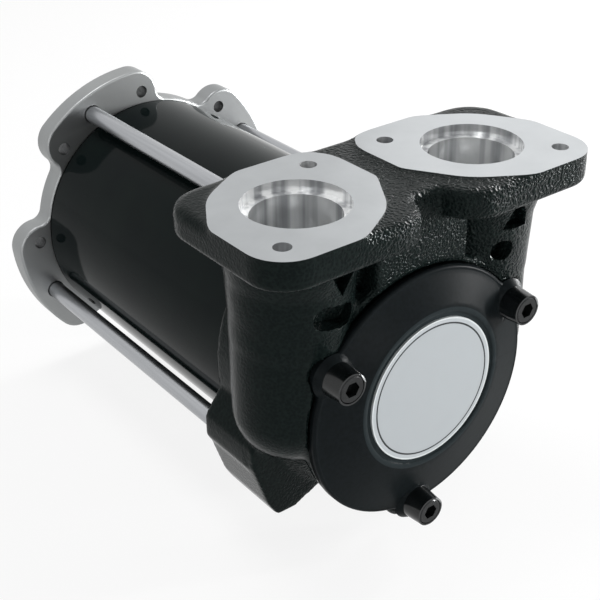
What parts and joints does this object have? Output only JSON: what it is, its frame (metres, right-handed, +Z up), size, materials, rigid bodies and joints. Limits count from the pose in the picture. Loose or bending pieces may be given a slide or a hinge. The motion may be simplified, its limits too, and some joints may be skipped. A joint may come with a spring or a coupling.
{
  "type": "diesel transfer pump",
  "caption": "Rotary vane diesel transfer pump: cast body with two flanged ports on top, round front cover and direct current motor held by tie rods to a lobed rear flange.",
  "frame": {"origin": "centre of the rear mounting face, on the motor shaft axis", "axes": "+Y along the shaft from the pump towards the motor flange, +Z up out of the ports, +X to the right when facing the cover"},
  "size_m": [0.1404, 0.2006, 0.1373],
  "materials": {
    "cast_iron_body": "cast iron under near-black green paint, coarse cast grain",
    "satin_black_cover": "satin black paint on a smooth casting",
    "black_screw_steel": "black oxide on socket head screws",
    "badge_aluminium": "satin printed aluminium",
    "tube_paint": "glossy black-green paint on rolled steel",
    "cast_aluminium": "satin cast aluminium",
    "bright_steel": "bright drawn steel",
    "zinc_steel": "zinc plated steel",
    "black_rubber": "nitrile rubber",
    "ferrite": "sintered ferrite",
    "lamination_steel": "stacked sheet steel",
    "copper_wire": "enamelled copper wire",
    "commutator_copper": "turned copper bars",
    "brush_board": "phenolic board",
    "carbon": "electrographite",
    "spring_steel": "spring wire",
    "bearing_steel": "ground bearing steel",
    "sintered_steel": "sintered steel",
    "acetal_vane": "acetal resin"
  },
  "bodies": {
    "housing": {"pump_body": "cast_iron_body", "front_cover": "satin_black_cover", "cover_screws": "black_screw_steel", "cover_o_ring": "black_rubber", "badge_disc": "badge_aluminium", "motor_tube": "tube_paint", "rear_end_shield": "cast_aluminium", "cable_grommet": "black_rubber", "tie_rods": "bright_steel", "tie_rod_nuts": "zinc_steel", "field_magnets": "ferrite", "brush_holder": "brush_board", "carbon_brushes": "carbon", "brush_springs": "spring_steel", "bearing_outer_races": "bearing_steel", "bearing_balls": "bearing_steel", "shaft_seal": "black_rubber", "wave_washer": "spring_steel", "bypass_spring": "spring_steel", "bypass_plug": "zinc_steel"},
    "rotor": {"motor_shaft": "bright_steel", "armature_core": "lamination_steel", "armature_winding": "copper_wire", "commutator": "commutator_copper", "bearing_inner_races": "bearing_steel", "rotor_key": "bright_steel", "pump_rotor": "sintered_steel"},
    "bypass_valve": {"bypass_poppet": "bright_steel"},
    "vane_1_body": {"vane_1": "acetal_vane"},
    "vane_2_body": {"vane_2": "acetal_vane"},
    "vane_3_body": {"vane_3": "acetal_vane"},
    "vane_4_body": {"vane_4": "acetal_vane"},
    "vane_5_body": {"vane_5": "acetal_vane"}
  },
  "joints": [
    {"name": "rotor_spin", "type": "hinge", "parent": "housing", "child": "rotor", "pos_m": [0, -0.1686, 0], "axis": [0, 1, 0], "continuous": true},
    {"name": "vane_1_slide", "type": "slide", "parent": "rotor", "child": "vane_1_body", "axis": [-0.5878, 0, 0.809], "range_m": [-0.0018, 0]},
    {"name": "vane_2_slide", "type": "slide", "parent": "rotor", "child": "vane_2_body", "axis": [-0.9511, 0, -0.309], "range_m": [-0.0018, 0]},
    {"name": "vane_3_slide", "type": "slide", "parent": "rotor", "child": "vane_3_body", "axis": [0, 0, -1], "range_m": [-0.0018, 0]},
    {"name": "vane_4_slide", "type": "slide", "parent": "rotor", "child": "vane_4_body", "axis": [0.9511, 0, -0.309], "range_m": [-0.0018, 0]},
    {"name": "vane_5_slide", "type": "slide", "parent": "rotor", "child": "vane_5_body", "axis": [0.5878, 0, 0.809], "range_m": [-0.0018, 0]},
    {"name": "bypass_lift", "type": "slide", "parent": "housing", "child": "bypass_valve", "axis": [0, 1, 0], "range_m": [0, 0.004], "stiffness_N_per_m": 900, "springref_m": -0.004, "deforming": ["bypass_spring"]}
  ]
}
